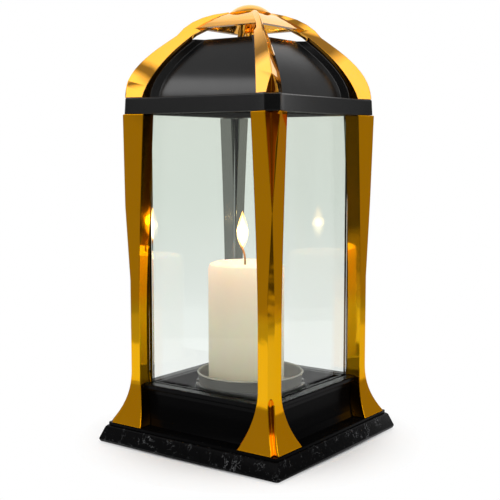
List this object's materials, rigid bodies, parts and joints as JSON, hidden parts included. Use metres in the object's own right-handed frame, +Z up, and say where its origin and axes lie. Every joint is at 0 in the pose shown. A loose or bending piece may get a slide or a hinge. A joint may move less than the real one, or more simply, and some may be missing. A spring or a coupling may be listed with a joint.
{
  "type": "grave lantern",
  "caption": "Square grave lantern with gilt corner columns, glass panes, a candle in a dish and a vaulted lift-off lid under an open crown.",
  "frame": {"origin": "middle of the base block's underside", "axes": "+Z up, -Y the front, +X the right side; the columns stand on the diagonals"},
  "size_m": [0.1712, 0.1712, 0.3393],
  "materials": {
    "stone": "polished, black with faint pale flecks",
    "black_moulding": "high gloss black",
    "gilt": "mirror gold metallising over a moulding",
    "glass": "clear, faint green tint",
    "tin": "dull spun tin",
    "wax": "ivory wax, translucent",
    "char": "burnt cotton wick",
    "steel": "zinc-plated screws",
    "aluminium": "plain sheet"
  },
  "bodies": {
    "body": {"base_block": "stone", "tray": "black_moulding", "dish_ring": "tin", "column_back_right": "gilt", "column_back_left": "gilt", "column_front_left": "gilt", "column_front_right": "gilt", "pane_back": "glass", "pane_left": "glass", "pane_front": "glass", "pane_right": "glass", "tie_screw_back_right": "steel", "tie_screw_back_left": "steel", "tie_screw_front_left": "steel", "tie_screw_front_right": "steel"},
    "dish": {"dish": "tin"},
    "candle": {"candle": "wax", "wick": "char"},
    "lid": {"lid_shell": "black_moulding", "crown": "gilt", "crown_screw_back_right": "steel", "crown_screw_back_left": "steel", "crown_screw_front_left": "steel", "crown_screw_front_right": "steel", "heat_shield": "aluminium", "heat_shield_screw": "steel"}
  },
  "joints": [
    {"name": "lid_lift", "type": "slide", "parent": "body", "child": "lid", "axis": [0, 0, 1], "range_m": [0, 0.2]},
    {"name": "dish_lift", "type": "slide", "parent": "body", "child": "dish", "axis": [0, 0, 1], "range_m": [0, 0.02]},
    {"name": "candle_lift", "type": "slide", "parent": "dish", "child": "candle", "axis": [0, 0, 1], "range_m": [0, 0.06]}
  ]
}
